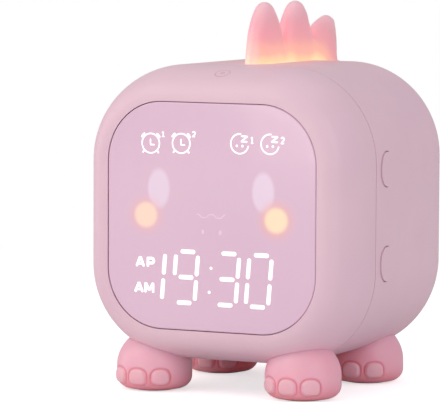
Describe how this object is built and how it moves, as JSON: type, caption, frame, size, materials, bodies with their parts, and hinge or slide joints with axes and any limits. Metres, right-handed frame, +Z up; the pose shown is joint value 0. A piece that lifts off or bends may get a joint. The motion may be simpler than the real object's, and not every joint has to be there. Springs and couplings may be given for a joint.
{
  "type": "alarm clock",
  "caption": "Rounded cube kids alarm clock with a display behind a flush lens, side buttons, a glowing spiked crest, a tail and dumpy feet.",
  "frame": {"origin": "on the table, under the middle of the clock's bounding box", "axes": "+Z up, the face looks along -Y, +X to the right as seen from the front"},
  "size_m": [0.1066, 0.1306, 0.1367],
  "materials": {
    "shell": "fine satin moulded plastic, pale pink",
    "lens": "glossy tinted lens, pink-lilac, lit from behind",
    "tape": "black adhesive tape",
    "frosted": "frosted white plastic",
    "board": "green circuit board",
    "led": "clear resin over a light chip",
    "black_part": "black plastic",
    "cream_plastic": "cream nylon",
    "screw": "zinc plated steel",
    "crest": "translucent pink plastic, lit from inside",
    "foot": "satin deep pink moulded plastic",
    "pad": "soft anti-slip pad",
    "button": "fine satin moulded plastic, pale pink",
    "plated": "plated steel",
    "cell_wrap": "shrink wrap",
    "speaker_paper": "coated paper cone",
    "copper": "copper foil",
    "lead_white": "insulated wire",
    "lead_red": "insulated wire"
  },
  "bodies": {
    "clock": {"front_bezel": "shell", "face_lens": "lens", "lens_tape": "tape", "diffuser_film": "frosted", "segment_mask": "frosted", "display_board": "board", "display_leds": "led", "controller_chip": "black_part", "board_sockets": "cream_plastic", "display_screws": "screw", "case_screws": "screw", "rear_housing": "shell", "glow_crest": "crest", "light_channel": "frosted", "crest_light_strip": "cream_plastic", "crest_leds": "led", "tail": "shell", "tail_screws": "screw", "foot_front_left": "foot", "foot_front_right": "foot", "foot_rear_left": "foot", "foot_rear_right": "foot", "foot_pads": "pad", "foot_screws": "screw", "switches_left": "plated", "switches_right": "plated", "button_board_left": "board", "button_board_right": "board", "button_board_screws": "screw", "charge_board": "board", "usb_socket": "plated", "charge_board_screws": "screw", "battery_cell": "cell_wrap", "battery_holder": "black_part", "battery_contacts": "plated", "battery_holder_screws": "screw", "speaker_frame": "black_part", "speaker_cone": "speaker_paper", "speaker_magnet": "plated", "speaker_retainer": "frosted", "speaker_screws": "screw", "touch_plate": "copper", "touch_lead": "copper", "crest_wires": "lead_white", "button_wires_left": "lead_white", "button_wires_right": "lead_white", "speaker_wires": "lead_red", "battery_wires": "lead_red", "charge_wires": "lead_white"},
    "upper_left_button": {"button_upper_left": "button", "plunger_upper_left": "black_part"},
    "lower_left_button": {"button_lower_left": "button", "plunger_lower_left": "black_part"},
    "upper_right_button": {"button_upper_right": "button", "plunger_upper_right": "black_part"},
    "lower_right_button": {"button_lower_right": "button", "plunger_lower_right": "black_part"}
  },
  "joints": [
    {"name": "press_upper_left", "type": "slide", "parent": "clock", "child": "upper_left_button", "axis": [1, 0, 0], "range_m": [0, 0.0008], "stiffness_N_per_m": 2000},
    {"name": "press_lower_left", "type": "slide", "parent": "clock", "child": "lower_left_button", "axis": [1, 0, 0], "range_m": [0, 0.0008], "stiffness_N_per_m": 2000},
    {"name": "press_upper_right", "type": "slide", "parent": "clock", "child": "upper_right_button", "axis": [-1, 0, 0], "range_m": [0, 0.0008], "stiffness_N_per_m": 2000},
    {"name": "press_lower_right", "type": "slide", "parent": "clock", "child": "lower_right_button", "axis": [-1, 0, 0], "range_m": [0, 0.0008], "stiffness_N_per_m": 2000}
  ]
}
